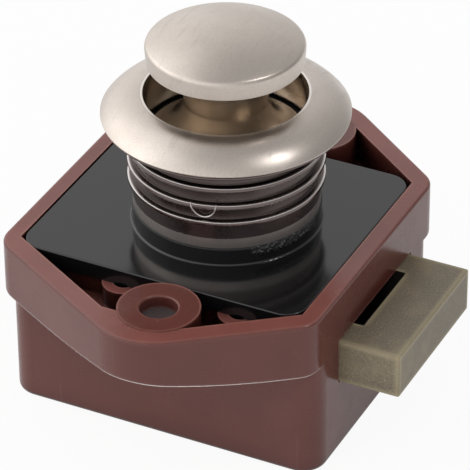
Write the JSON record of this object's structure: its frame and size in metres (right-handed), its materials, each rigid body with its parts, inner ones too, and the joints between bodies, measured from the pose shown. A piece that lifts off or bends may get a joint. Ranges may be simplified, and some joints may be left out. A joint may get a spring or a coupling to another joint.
{
  "type": "push button cabinet lock",
  "caption": "Surface-mounted cabinet lock: a round push knob in a domed rosette draws a flat bolt into a plastic case by means of springs and a slanted cam.",
  "frame": {"origin": "on the knob's axis, in the door's back face, which the tops of the two screw bosses seat against", "axes": "+Z along the knob's axis out through the door, +X the way the bolt leaves the case, +Y from the front ear to the back ear"},
  "size_m": [0.0518, 0.0608, 0.0507],
  "materials": {
    "case_plastic": "red-brown moulded plastic, satin",
    "cover_plastic": "black, polished",
    "rosette_nickel": "satin nickel plate",
    "knob_nickel": "satin nickel plate",
    "stem_nickel": "bright nickel plate",
    "fastener_steel": "zinc plated",
    "plunger_plastic": "black moulded plastic",
    "bolt_plastic": "khaki glass-filled plastic, fine texture",
    "spring_steel": "drawn spring wire"
  },
  "bodies": {
    "lock_body": {"case": "case_plastic", "cover_plate": "cover_plastic", "rosette": "rosette_nickel", "follower_spring": "spring_steel", "return_spring": "spring_steel", "bolt_spring_front": "spring_steel", "bolt_spring_back": "spring_steel"},
    "push_knob": {"knob_cap": "knob_nickel", "knob_stem": "stem_nickel", "knob_screw": "fastener_steel", "knob_lock_washer": "fastener_steel", "plunger": "plunger_plastic"},
    "bolt_slide": {"bolt": "bolt_plastic", "drive_pin_front": "fastener_steel", "drive_pin_back": "fastener_steel"},
    "latch_arm": {"latch_wire": "spring_steel"}
  },
  "joints": [
    {"name": "knob_press", "type": "slide", "parent": "lock_body", "child": "push_knob", "axis": [0, 0, -1], "range_m": [0, 0.0072], "stiffness_N_per_m": 500, "springref_m": -0.004, "deforming": ["return_spring"]},
    {"name": "bolt_draw", "type": "slide", "parent": "lock_body", "child": "bolt_slide", "axis": [-1, 0, 0], "range_m": [0, 0.008], "stiffness_N_per_m": 150, "springref_m": -0.004, "deforming": ["bolt_spring_front", "bolt_spring_back"]},
    {"name": "latch_swing", "type": "hinge", "parent": "lock_body", "child": "latch_arm", "pos_m": [0.0092, 0, -0.0196], "axis": [1, 0, 0], "range_deg": [0, 8]}
  ],
  "couplings": [
    {"joint": "bolt_draw", "follows": "knob_press", "ratio": 1.1111},
    {"joint": "latch_swing", "follows": "knob_press", "rad_per_m": 19.39}
  ]
}
